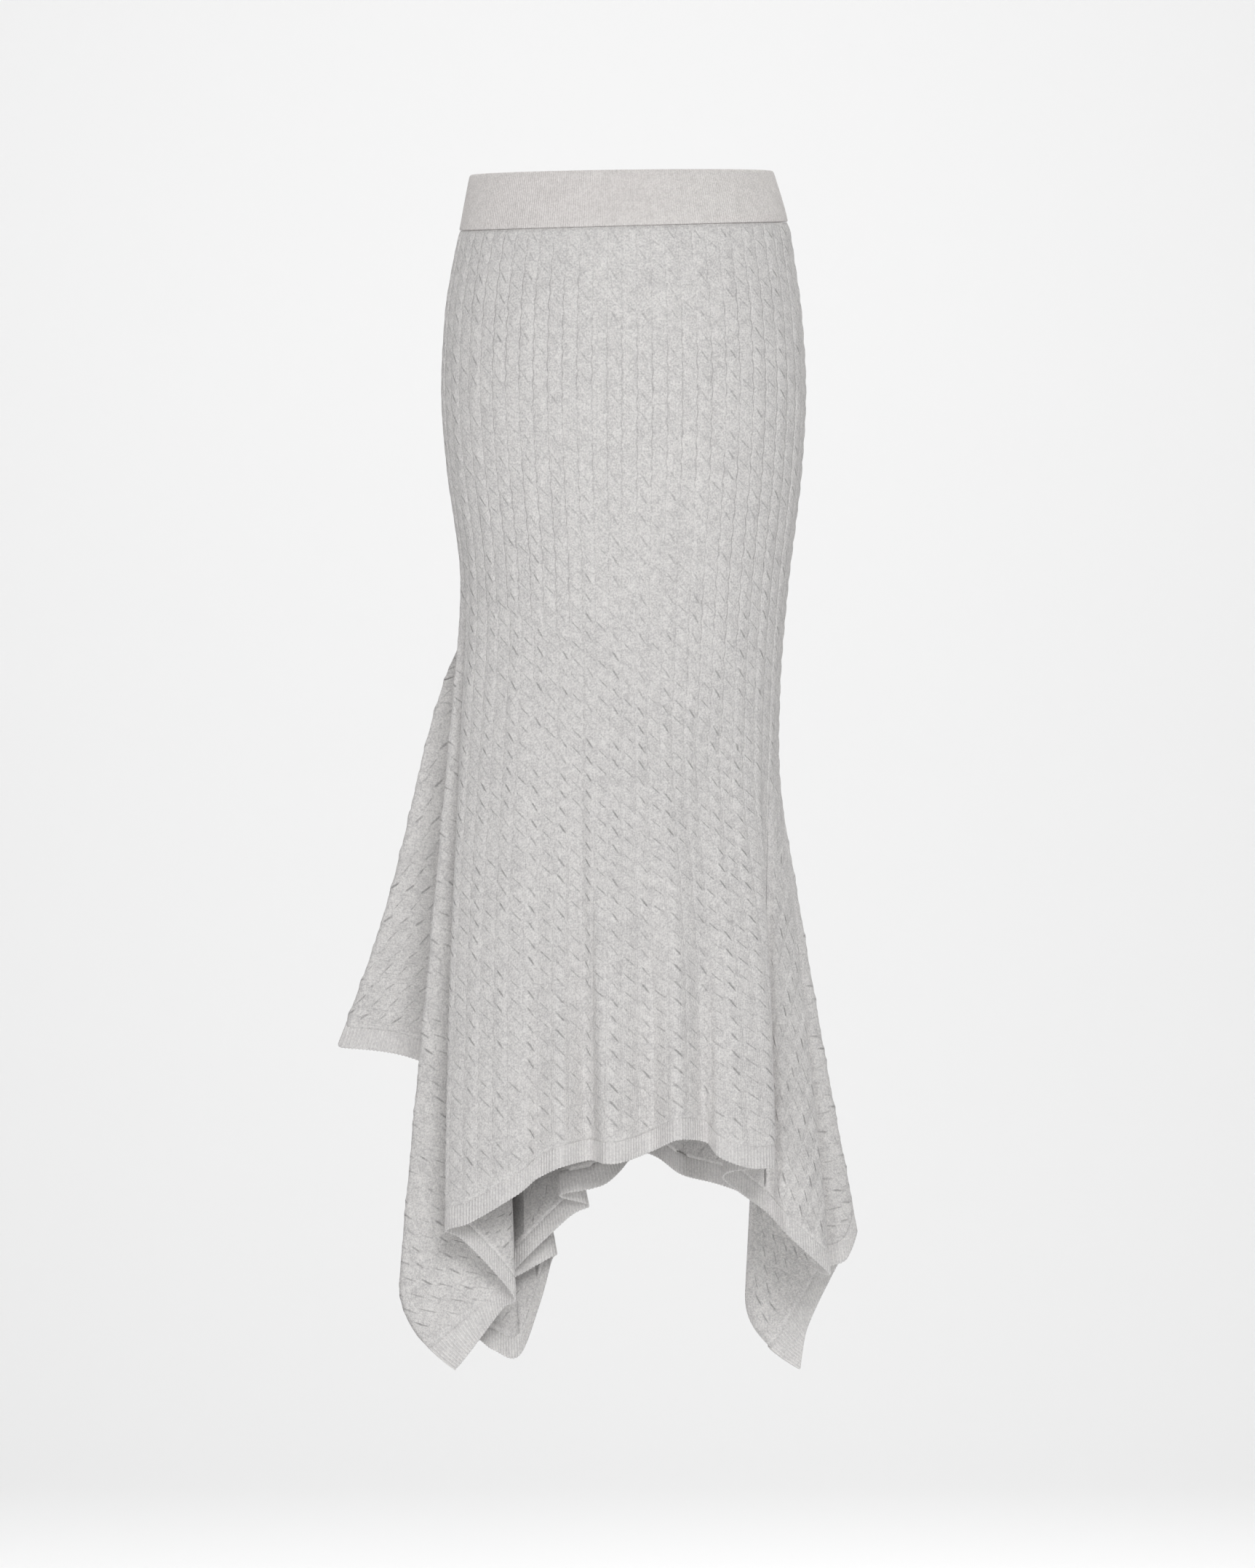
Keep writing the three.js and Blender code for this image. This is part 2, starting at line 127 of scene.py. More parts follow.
def backdrop():
    sheet = bmesh.new()
    profile = [sheet.verts.new((-PAPER_SIDE, PAPER_FRONT, FLOOR_Z))]
    steps = [(PAPER_FRONT + (SWEEP_BACK - PAPER_FRONT) * k / FLOOR_STEPS, FLOOR_Z)
             for k in range(1, FLOOR_STEPS + 1)]
    for k in range(1, SWEEP_STEPS + 1):
        turn = math.pi / 2 * k / SWEEP_STEPS
        steps.append((SWEEP_BACK + SWEEP_RADIUS * math.sin(turn),
                      FLOOR_Z + SWEEP_RADIUS * (1 - math.cos(turn))))
    steps.append((SWEEP_BACK + SWEEP_RADIUS, PAPER_TOP))
    for y, z in steps:
        profile.append(sheet.verts.new((-PAPER_SIDE, y, z)))
    edges = [sheet.edges.new((a, b)) for a, b in zip(profile, profile[1:])]
    moved = bmesh.ops.extrude_edge_only(sheet, edges=edges)["geom"]
    ends = [v for v in moved if isinstance(v, bmesh.types.BMVert)]
    bmesh.ops.translate(sheet, verts=ends, vec=(2 * PAPER_SIDE, 0, 0))
    bmesh.ops.recalc_face_normals(sheet, faces=sheet.faces)
    mesh = bpy.data.meshes.new("studio_floor")
    sheet.to_mesh(mesh)
    sheet.free()
    for face in mesh.polygons:
        face.use_smooth = True
    floor = bpy.data.objects.new("studio_floor", mesh)
    bpy.context.collection.objects.link(floor)
    return floor


floor = backdrop()
paper = bpy.data.materials.new("Background paper, matt")
paper.use_nodes = True
paper_shader = paper.node_tree.nodes["Principled BSDF"]
paper_shader.inputs["Roughness"].default_value = 1.0
paper_shader.inputs["Specular IOR Level"].default_value = 0.0
paper_grain = add(paper.node_tree, "ShaderNodeTexNoise", {}, Scale=3.0, Detail=2.0)
paper_tone = add(paper.node_tree, "ShaderNodeMix", {"data_type": "RGBA"},
                 Factor=paper_grain.outputs["Fac"])
paper_tone.inputs[6].default_value = linear("#F3F3F3")
paper_tone.inputs[7].default_value = linear("#F5F5F5")
paper.node_tree.links.new(paper_tone.outputs[2], paper_shader.inputs["Base Color"])
floor.data.materials.append(paper)

# %% Lamps and world
SKIRT_MIDDLE = (0, 0, -0.6)
PAPER_BEHIND = (0, 5.2, -1.6)
WORLD_STRENGTH = 0.32
LAMPS = {
    "key_lamp": {"at": (0.8, -5.6, 1.8), "aim": SKIRT_MIDDLE, "size": 1.8, "power": 148},
    "fill_lamp": {"at": (-1.5, -5.8, -0.4), "aim": SKIRT_MIDDLE, "size": 2.2, "power": 34},
    "low_lamp": {"at": (-1.4, -5.8, -1.60), "aim": SKIRT_MIDDLE, "size": 1.1, "power": 28},
    "back_wash": {"at": (0.0, 1.6, 2.3), "aim": PAPER_BEHIND, "size": 3.0, "power": 174},
}
for name, lamp in LAMPS.items():
    data = bpy.data.lights.new(name, "AREA")
    data.size = lamp["size"]
    data.energy = lamp["power"]
    light = bpy.data.objects.new(name, data)
    light.location = lamp["at"]
    towards = Vector(lamp["aim"]) - light.location
    light.rotation_euler = towards.to_track_quat("-Z", "Y").to_euler()
    bpy.context.collection.objects.link(light)

world = bpy.data.worlds.new("studio_world")
bpy.context.scene.world = world
world.use_nodes = True
world.node_tree.nodes["Background"].inputs[0].default_value = linear("#F6F6F6")
world.node_tree.nodes["Background"].inputs[1].default_value = WORLD_STRENGTH
bpy.context.scene.view_settings.view_transform = "Standard"
bpy.context.scene.view_settings.look = "None"
bpy.context.scene.view_settings.exposure = 0.0
bpy.context.scene.view_settings.gamma = 1.0

# %% [markdown]
# ## The form
# The skirt is one tube. Above the knee it is a stack of girth rings. Below it, fold lines run from
# the knee ring to points of the hem, and a smooth curve joins them round the skirt. Any point of the
# cloth then has two names: its turn, the share of the way round from the front centre by the left
# side, and its level, 0 at the waist seam, 1 at the knee and 2 at the hem. The tables are in
# millimetres. Widths and heights were read off the picture; depth and the whole back are guessed.

# %% Girth rings and fold lines
MM = 0.001
# height, left, right, front, back, sideways tilt, front dip
RINGS = np.array([
    [-4, 145, 144, 86, 92, 2, 4],
    [-55, 155, 158, 97, 106, 4, 7],
    [-97, 163, 165, 103, 116, 2, 4],
    [-140, 169, 171, 107, 123, 0, 0],
    [-212, 172.5, 175, 109, 128, 0, 0],
    [-290, 167, 171, 106, 122, 0, 0],
    [-335, 160.5, 166, 103, 116, 0, 0],
    [-400, 152.5, 158, 99, 108, 0, 0],
    [-500, 151.5, 150, 96, 102, 0, 0],
    [-580, 152, 147.5, 95, 100, 0, 0],
], float)
LEFT, RIGHT, FRONT, BACK, TILT, DIP = range(1, 7)
BAND_TOP = RINGS[0, 0]
BAND_SEAM = RINGS[1, 0]

# turn, x, y, z, from, early, bow, swing
FOLDS = np.array([
    [0.000, 0, -152, -948, 0, 0, 0, 0],
    [0.034, -16, -154, -949, 0.12, 0, 0, 0],
    [0.052, -30, -130, -947, 0.12, 0, 0, 0],
    [0.078, -58, -151, -953, 0.12, 0, 0, 0],
    [0.101, -80, -139, -964, 0.2, 0, 0, 0],
    [0.122, -96, -148, -977, 0, 0, 0, 0],
    [0.180, -145, -128, -1007, 0, 0, -3, 0],
    [0.208, -167, -107, -1016, 0, 0, -5, 0],
    [0.214, -149, -98, -1026, 0, 0, -3, 0],
    [0.220, -103, -82, -1079, 0, 0, 8, 0],
    [0.224, -113, -67, -1091, 0, 0, 3, 0],
    [0.234, -159, -45, -1151, 0, 0, -3, 59],
    [0.239, -146, -24, -1121, 0, 0, 0, 34],
    [0.244, -124, -12, -1135, 0, 0, 0, 0],
    [0.250, -99, 6, -1142, 0, 0, 0, 0],
    [0.255, -80, 18, -1095, 0.45, 0, 0, 0],
    [0.259, -68, 22, -1052, 0.45, 0, 0, 0],
    [0.263, -66, 0, -1046, 0.45, 0, 0, 0],
    [0.268, -110, -26, -1066, 0.5, 0, 0, 0],
    [0.273, -53, -40, -1008, 0.5, 0, 0, 0],
    [0.278, -32, -46, -995, 0.45, 0, 0, 0],
    [0.284, -59, -62, -984, 0.5, 0, 0, 0],
    [0.289, -17, -76, -973, 0.5, 0, 0, 0],
    [0.292, 3, -60, -955, 0, 0, 0, 0],
    [0.300, 2, -30, -945, 0, 0, 0, 0],
    [0.307, -70, 50, -925, 0, -6, 0, 0],
    [0.313, -200, 78, -860, 0, -16, 2, 0],
    [0.318, -275, 92, -848, 0, -20, 3, 0],
    [0.328, -240, 108, -838, 0, -20, 3, 0],
    [0.355, -150, 128, -880, 0, -15, 0, 0],
    [0.420, -50, 150, -935, 0, -5, 0, 0],
    [0.500, 25, 156, -955, 0, 0, 0, 0],
    [0.570, 60, 156, -976, 0, 0, 0, 0],
    [0.640, 104, 150, -988, 0, 0, 0, 0],
    [0.675, 132, 142, -1000, 0, 0, 0, 0],
    [0.695, 164, 134, -1027, 0, 0, 0, 0],
    [0.722, 173, 98, -1161, 0, 0, 0, 56],
    [0.730, 180, 78, -1122, 0, 0, 0, 20],
    [0.738, 202, 62, -1072, 0, 1, 0, 5],
    [0.748, 226, 14, -1023, 0, 2, 0, 0],
    [0.753, 215, 2, -1050, 0.2, 0, 0, 0],
    [0.758, 188, -3, -1058, 0.2, 0, 0, 0],
    [0.765, 199, -36, -1061, 0, 0, 4, 0],
    [0.785, 159, -60, -1023, 0, 0, 0, 0],
    [0.794, 138, -46, -1001, 0.1, 0, 0, 0],
    [0.803, 96, -76, -966, 0, 0, 0, 0],
    [0.822, 143.5, -118, -955, 0, 0, 4, 0],
    [0.840, 122, -142, -954, 0, 0, 0, 0],
    [0.870, 93, -148, -944, 0.12, 0, 0, 0],
    [0.900, 79, -130, -930, 0.12, 0, 0, 0],
    [0.935, 52, -155, -927, 0.12, 0, 0, 0],
    [0.968, 27, -132, -939, 0.15, 0, 0, 0],
], float)
TURN, HEM_X, HEM_Y, HEM_Z, FROM, EARLY, BOW, SWING = range(8)
KNEE_LEFT = -400         # height of the slanted knee line at the left
KNEE_RIGHT = -579
FLARE_EASE = 1.12        # how late the flare opens
LATE_EASE = 1.15         # the same for a fold that starts below the knee
SWING_FROM = 0.87        # share of the way down a fold at which its point starts to swing
SWING_EASE = 2.5
EARLY_PEAK = 256 / 27    # makes the early push 1 at its highest
LEFT_SEAM = 0.2505       # turn of each side seam
RIGHT_SEAM = 0.744
SMALL_TURN = 0.0006      # half of the step used to measure along a row

# %% Rings
def ring_slopes(column):
    rise = np.diff(RINGS[:, column]) / np.diff(RINGS[:, 0])
    before, after = rise[:-1], rise[1:]
    total = np.where(before * after > 0, before + after, 1.0)
    middle = np.where(before * after > 0, 2 * before * after / total, 0.0)
    return np.concatenate([[rise[0]], middle, [rise[-1]]])


SLOPES = {column: ring_slopes(column) for column in range(1, 7)}


def ring_value(column, z):
    depth = np.clip(-z, -RINGS[0, 0], -RINGS[-1, 0])
    i = np.clip(np.searchsorted(-RINGS[:, 0], depth, side="right") - 1, 0, len(RINGS) - 2)
    step = RINGS[i + 1, 0] - RINGS[i, 0]
    u = (-depth - RINGS[i, 0]) / step
    value, slope = RINGS[:, column], SLOPES[column]
    start = value[i] * (1 + 2 * u) * (1 - u) ** 2 + slope[i] * step * u * (1 - u) ** 2
    end = value[i + 1] * u * u * (3 - 2 * u) + slope[i + 1] * step * u * u * (u - 1)
    return start + end


def girth_shares(steps=1440, side=165, front=104, back=118):
    """Angles round a middling ring of the skirt, and the share of its girth reached at each."""
    a = np.linspace(0, 2 * math.pi, steps + 1)
    depth = np.where(np.cos(a) > 0, front, back)
    x, y = -np.sin(a) * side, -np.cos(a) * depth
    length = np.concatenate([[0], np.cumsum(np.hypot(np.diff(x), np.diff(y)))])
    return a, length / length[-1]


ANGLES, SHARES = girth_shares()


def ring_point(turn, z):
    a = np.interp(turn % 1.0, SHARES, ANGLES)
    side = np.where(np.sin(a) > 0, ring_value(LEFT, z), ring_value(RIGHT, z))
    depth = np.where(np.cos(a) > 0, ring_value(FRONT, z), ring_value(BACK, z))
    x = -np.sin(a) * side
    tilt = ring_value(TILT, z) * x / RINGS[0, LEFT]
    dip = ring_value(DIP, z) * np.cos(a)
    return np.stack([x, -np.cos(a) * depth, z + tilt - dip], -1)


def knee_height(turn):
    middle = (KNEE_LEFT + KNEE_RIGHT) / 2
    return middle + (KNEE_LEFT - KNEE_RIGHT) / 2 * np.sin(2 * math.pi * turn)


# %% Folds
MAIN = np.flatnonzero(FOLDS[:, FROM] == 0)
ALL = np.arange(len(FOLDS))
STARTS = ring_point(FOLDS[:, TURN], knee_height(FOLDS[:, TURN]))


def main_fold_point(fold, t):
    row = FOLDS[fold]
    ease = np.maximum(t, 0) ** FLARE_EASE
    swing = np.maximum(0, (t - SWING_FROM) / (1 - SWING_FROM)) ** SWING_EASE
    start = STARTS[fold]
    x = start[..., 0] + (row[..., HEM_X] - row[..., SWING] - start[..., 0]) * ease
    x = x + row[..., EARLY] * EARLY_PEAK * t * (1 - t) ** 3
    x = x + row[..., BOW] * 4 * t * (1 - t) + row[..., SWING] * swing
    y = start[..., 1] + (row[..., HEM_Y] - start[..., 1]) * ease
    z = start[..., 2] + (row[..., HEM_Z] - start[..., 2]) * t
    return np.stack([x, y, z], -1)


def fold_point(fold, t):
    plain = main_fold_point(fold, t)
    late = FOLDS[fold, FROM] > 0
    if not late.any():
        return plain
    f, when = fold[late], t[late]
    begin = FOLDS[f, FROM]
    growth = np.maximum(0, (when - begin) / (1 - begin)) ** LATE_EASE
    turns = FOLDS[f, TURN]
    shift = FOLDS[f][:, 1:4] - flare_point(MAIN, turns, np.ones_like(when))
    plain[late] = flare_point(MAIN, turns, when) + shift * growth[:, None]
    return plain


def flare_point(folds, turn, t):
    turn = np.asarray(turn) % 1.0
    stops = FOLDS[folds, TURN]
    i = np.searchsorted(stops, turn, side="right") - 1
    count = len(folds)
    points, turns = [], []
    for k in (-1, 0, 1, 2):
        place = i + k
        points.append(fold_point(folds[place % count], t))
        turns.append(stops[place % count] + np.floor(place / count))
    span = turns[2] - turns[1]
    u = ((turn - turns[1]) / span)[:, None]
    leave = (points[2] - points[0]) * (span / (turns[2] - turns[0]))[:, None]
    arrive = (points[3] - points[1]) * (span / (turns[3] - turns[1]))[:, None]
    return (points[1] * (1 + 2 * u) * (1 - u) ** 2 + leave * u * (1 - u) ** 2
            + points[2] * u * u * (3 - 2 * u) + arrive * u * u * (u - 1))


def sharp_cloth_point(turn, level):
    turn, level = np.broadcast_arrays(np.asarray(turn, float), np.asarray(level, float))
    shape = turn.shape
    turn, level = turn.ravel(), level.ravel()
    out = np.empty((turn.size, 3))
    upper = level < 1
    z = BAND_SEAM + (knee_height(turn[upper]) - BAND_SEAM) * level[upper]
    out[upper] = ring_point(turn[upper], z)
    out[~upper] = flare_point(ALL, turn[~upper], level[~upper] - 1)
    return out.reshape(shape + (3,))


KNEE_SOFT = 0.05    # share of a level over which the cloth bends into the flare
KNEE_REACH = 2.5    # how many times that the mean reaches up and down
KNEE_NEAR = 3       # and how many times that it is worked out for
# places above and below a point, and what each counts for in the mean
KNEE_MEAN = ((-1, 0.06), (-0.6, 0.14), (-0.3, 0.18), (0, 0.24), (0.3, 0.18), (0.6, 0.14), (1, 0.06))
CREASE_GROWS = 0.7  # levels over which a crease of the back comes to its full depth
# shallow creases of the broad back: turn, half width in turns, depth in mm, level where each begins
BACK_CREASES = [
    (0.400, 0.011, -11, 1.02),
    (0.437, 0.017, 8, 1.25),
    (0.476, 0.013, -9, 1.40),
    (0.523, 0.021, 9, 1.10),
    (0.567, 0.014, -10, 1.30),
    (0.612, 0.018, 8, 1.45),
    (0.660, 0.012, -10, 1.05),
]


def smooth(value, start, end):
    u = np.clip((value - start) / (end - start), 0, 1)
    return u * u * (3 - 2 * u)


def cloth_point(turn, level):
    """The same face, with the bend at the knee rounded and the creases of the broad back."""
    turn, level = np.broadcast_arrays(np.asarray(turn, float), np.asarray(level, float))
    face = sharp_cloth_point(turn, level)
    near = np.abs(level - 1) < KNEE_NEAR * KNEE_SOFT
    if near.any():
        t, lv = turn[near], level[near]
        total = 0
        for shift, share in KNEE_MEAN:
            total = total + share * sharp_cloth_point(t, lv + shift * KNEE_REACH * KNEE_SOFT)
        face[near] = total
    for at, wide, depth, start in BACK_CREASES:
        grown = smooth(level, start, start + CREASE_GROWS)
        face[..., 1] += depth * np.exp(-((turn % 1.0 - at) / wide) ** 2) * grown
    return face


def band_point(turn, level):
    return ring_point(turn, BAND_TOP + (BAND_SEAM - BAND_TOP) * level)


def outward(face, turn, level, reach=0.01):
    along = face(turn + SMALL_TURN, level) - face(turn - SMALL_TURN, level)
    down = face(turn, level + reach) - face(turn, level - reach)
    normal = np.cross(along, down)
    return normal / np.maximum(np.linalg.norm(normal, axis=-1, keepdims=True), 1e-9)


HEM_RIB = 20             # height of the rib at the hem, in millimetres
AT_HEM = 1.9999          # level of the hem, just inside it
ALMOST_ROUND = 0.99999   # a full turn, just short of it


def rib_level(turn):
    """Level of the seam between the panels and the hem rib."""
    length = knee_height(turn) - cloth_point(turn, np.full_like(turn, 2.0))[..., 2]
    return 2 - HEM_RIB / length


hem_line = cloth_point(np.linspace(0, 1, 4001), np.full(4001, AT_HEM))
print("hem length", round(float(np.linalg.norm(np.diff(hem_line, axis=0), axis=1).sum())), "mm")

# %% [markdown]
# ## Where the cables run
# A cable is a column of stitches. Over the front, where the cloth shows whole, the cables spread
# evenly down the flare. Elsewhere the pattern isn't stretched: in each group of folds it is measured
# from one line that shows, such as the edge of a fold, and what the flare adds comes in along hidden
# valleys, as a knitter adds stitches there. The relief fades close to those valleys.
# The pattern's two numbers are kept in the piece's UV map: U counts repeats of one cable and one
# plain column round the skirt, and V counts cable crossings down it.

# %% Pattern map
CABLES_ROUND = 32
CROSSING_HUNG = 19.3     # down the hip, where the knit's weight draws it long
CROSSING_SLACK = 16.3    # down the flare
SPREAD = 1.18            # how much wider a repeat is in the flare than on the hip
LEAN_OVER = 0.22         # share of the flare over which the cables turn to their lean
FAR = 99.0               # any distance from a valley at which the relief is whole
VALLEY_BARE, VALLEY_WHOLE = 3, 14    # millimetres from a valley where relief starts and is whole
# first turn, last turn, turn of the line that the cables start from, degrees that they lean from it;
# with None the cables spread evenly over the cloth between the two turns
GORES = [
    (0.0, 0.214, 0.0, None),
    (0.214, 0.2225, 0.220, -20),
    (0.2225, 0.2415, 0.234, -22),
    (0.2415, 0.2565, 0.250, -10),
    (0.2565, 0.2695, 0.259, 15),
    (0.2695, 0.2815, 0.278, 25),
    (0.2815, 0.3035, 0.292, 30),
    (0.3035, 0.400, 0.318, 84),
    (0.400, 0.660, 0.500, 0),
    (0.660, 0.722, 0.695, 66),
    (0.722, 0.742, 0.730, 68),
    (0.742, 0.758, 0.748, -38),
    (0.758, 0.794, 0.765, 34),
    (0.794, 0.808, 0.794, 0),
    (0.808, ALMOST_ROUND, ALMOST_ROUND, None),
]
LEVELS = np.concatenate([np.linspace(0, 0.999, 30), np.linspace(1, AT_HEM, 70)])
TURNS = np.linspace(0, 1.25, 6001)
grid_turn, grid_level = np.meshgrid(TURNS, LEVELS)
GRID = cloth_point(grid_turn, grid_level)
ALONG = np.concatenate([np.zeros((len(LEVELS), 1)),
                        np.cumsum(np.linalg.norm(np.diff(GRID, axis=1), axis=2), axis=1)], 1)
STEPS = np.linalg.norm(np.diff(GRID, axis=0), axis=2)
HEIGHT = CROSSING_HUNG + (CROSSING_SLACK - CROSSING_HUNG) * smooth(LEVELS[1:, None], 0.6, 1.3)
DOWN = np.concatenate([np.zeros((1, len(TURNS))), np.cumsum(STEPS, axis=0)], 0)
CROSSED = np.concatenate([np.zeros((1, len(TURNS))), np.cumsum(STEPS / HEIGHT, axis=0)], 0)


def look_up(table, turn, level):
    """Reads a table of LEVELS by TURNS between its rows and columns."""
    column = np.clip((turn % 1.0) / TURNS[-1] * (len(TURNS) - 1), 0, len(TURNS) - 1.001)
    row = np.clip(np.interp(level, LEVELS, np.arange(len(LEVELS))), 0, len(LEVELS) - 1.001)
    i, j = row.astype(int), column.astype(int)
    a, b = row - i, column - j
    upper = table[i, j] * (1 - b) + table[i, j + 1] * b
    lower = table[i + 1, j] * (1 - b) + table[i + 1, j + 1] * b
    return upper * (1 - a) + lower * a


def pattern(turn, level):
    """Repeats round the skirt, crossings down it, and the share of the relief kept near a valley."""
    turn, level = np.broadcast_arrays(np.asarray(turn, float), np.asarray(level, float))
    share = turn % 1.0
    repeats = share * CABLES_ROUND
    crossings = look_up(CROSSED, share, level)
    gap = np.full(share.shape, FAR)
    whole_way = np.full_like(share, ALMOST_ROUND)
    repeat_size = look_up(ALONG, whole_way, np.ones_like(share)) / CABLES_ROUND
    for first, last, line, lean in GORES:
        inside = (share >= first) & (share < last) & (level > 1)
        if not inside.any():
            continue
        s, lv = share[inside], level[inside]
        here = look_up(ALONG, s, lv)
        aside = here - look_up(ALONG, np.full_like(s, line), lv)
        ends = [look_up(ALONG, np.full_like(s, end), lv) for end in (first, last)]
        if lean is None:
            spread = aside / (ends[1] - ends[0]) * (last - first)
            repeats[inside] = (line + spread) * CABLES_ROUND
        else:
            down = look_up(DOWN, s, lv) - look_up(DOWN, s, np.ones_like(s))
            angle = np.radians(lean) * smooth(lv, 1, 1 + LEAN_OVER)
            across = aside * np.cos(angle) - down * np.sin(angle)
            below = aside * np.sin(angle) + down * np.cos(angle)
            wide = repeat_size[inside] * (1 + (SPREAD - 1) * smooth(lv, 1, 1.6))
            repeats[inside] = line * CABLES_ROUND + across / wide
            crossings[inside] += (below - down) / CROSSING_SLACK
        for end, edge in zip((first, last), ends):
            if end != line:
                gap[inside] = np.minimum(gap[inside], np.abs(edge - here))
    repeats = np.where(turn < 0, repeats - CABLES_ROUND, repeats)
    kept = 1 - (1 - smooth(gap, VALLEY_BARE, VALLEY_WHOLE)) * smooth(level, 1, 1.12)
    return repeats, crossings, kept


# %% Relief of the knit
WANDER = 0.025      # how far a gutter bends at each crossing, in repeats
SLANT = 0.42        # how far down a crossing runs over half the width of a cable, in crossings
UNEVEN = 0.06       # how far one column's crossings sit above or below the next one's
UNEVEN_STEP = 2.4   # radians from one column to the next, so that no two neighbours are alike
CABLE_DIP = 0.50    # how deep a cable dips between its crossings, in millimetres
FLAT_TALL = 0.45    # height of the flat columns
FLAT_DIP = 0.25


def cable_relief(repeats, crossings):
    """Height of the knit in millimetres: twisted cables with flatter columns between them."""
    phase = crossings + UNEVEN * np.sin(np.floor(repeats) * UNEVEN_STEP)
    place = (repeats + WANDER * np.sin(2 * math.pi * phase)) % 1.0
    across = np.where(place < 0.5, place - 0.25, place - 0.75) * 4
    round_top = np.sqrt(np.clip(1 - across ** 2, 0, 1))
    twist = np.cos(2 * math.pi * (phase + SLANT * across))
    cable = round_top - CABLE_DIP * twist * round_top
    flat = FLAT_TALL * round_top + FLAT_DIP * twist * round_top
    return np.where(place < 0.5, cable, flat)


# %% [markdown]
# ## Body panels
# The front and the back are each one knitted panel from the waist seam to the hem rib. Each could be
# simulated as cloth, but its folds then fall where they like. Here a flat grid, like the knitted
# piece before it is sewn, is laid onto the form point by point: first across its outer face, then
# back across its inner one, so it is a closed thin wall. The outer points also rise and sink with
# the cables, and the inner ones a little less than half as far.

# %% Grids laid on the form
WALL = 2.0
INNER_SHARE = 0.45      # relief of the inner face, as a share of the outer one's
KNEE_SHARE = 0.46       # share of a panel's rows that lie above the knee
TOP_LEVEL = 0.0006      # the panel's top edge, just under the waistband
SEAM_INSET = 0.00001    # turns that keep a piece's edge on its own side of a seam
EDGE_FADE = 0.006       # share of the rows over which the relief comes in under the waistband
FOOT_FADE = (0.988, 0.998)    # and over which it fades above the hem rib


def flat_grid(columns, rows):
    """A grid whose points are told apart by their column and row."""
    cloth = bmesh.new()
    bmesh.ops.create_grid(cloth, x_segments=columns - 1, y_segments=rows - 1, size=1.0)
    mesh = bpy.data.meshes.new("cloth")
    cloth.to_mesh(mesh)
    cloth.free()
    co = np.empty(len(mesh.vertices) * 3)
    mesh.vertices.foreach_get("co", co)
    co = co.reshape(-1, 3)
    place = (co[:, :2] - co[:, :2].min(0)) / np.ptp(co[:, :2], axis=0)
    column = np.rint(place[:, 0] * (columns - 1)).astype(int)
    row = np.rint(place[:, 1] * (rows - 1)).astype(int)
    return mesh, column, row


def lay(name, columns, rows, points, uv, depth, drawn, close):
    """Puts a flat grid's points where they belong, keeps its pattern map and closes its edges."""
    mesh, column, row = flat_grid(columns, rows)
    mesh.name = name
    mesh.vertices.foreach_set("co", (points[row, column] * MM).ravel())
    loops = np.empty(len(mesh.loops), int)
    mesh.loops.foreach_get("vertex_index", loops)
    layer = mesh.uv_layers.new(name="Knit")
    layer.data.foreach_set("uv", uv[row, column][loops].ravel())
    for title, value in (("Relief", depth), ("Gutters", drawn)):
        strength = mesh.attributes.new(title, "FLOAT", "POINT")
        strength.data.foreach_set("value", value[row, column])
    mesh.update()
    order = np.argsort(row * columns + column)
    cloth = bmesh.new()
    cloth.from_mesh(mesh)
    cloth.verts.ensure_lookup_table()
    close(cloth, lambda r, c: cloth.verts[order[r * columns + c]])
    bmesh.ops.remove_doubles(cloth, verts=cloth.verts, dist=1e-7)
    bmesh.ops.recalc_face_normals(cloth, faces=cloth.faces)
    open_edges = sum(1 for edge in cloth.edges if not edge.is_manifold)
    for face in cloth.faces:
        face.smooth = True
    cloth.to_mesh(mesh)
    cloth.free()
    piece = bpy.data.objects.new(name, mesh)
    bpy.context.collection.objects.link(piece)
    mesh.calc_loop_triangles()
    print(name, len(mesh.loop_triangles), "triangles,", open_edges, "open edges")
    return piece


def spaced_turns(start, end, count, levels, weight):
    """Turns from seam to seam, spaced by the widest of some rows but closer where the cloth shows."""
    fine = np.linspace(start, end, 4001)
    steps = [np.linalg.norm(np.diff(cloth_point(fine, np.full_like(fine, level)), axis=0), axis=1)
             for level in levels]
    step = np.max(steps, axis=0) * weight((fine[1:] + fine[:-1]) / 2)
    length = np.concatenate([[0], np.cumsum(step)])
    return np.interp(np.linspace(0, length[-1], count), length, fine)


def shows(turn):
    """Where the columns are closer: over the front, at the flap on the left and at the right tail."""
    share = turn % 1.0
    front_face = (share < 0.25) | (share > 0.755)
    flap = (share > 0.300) & (share < 0.330)
    tail = (share > 0.700) & (share < 0.745)
    return np.where(tail, 2.6, np.where(flap, 2.0, np.where(front_face, 1.5, 1.0)))


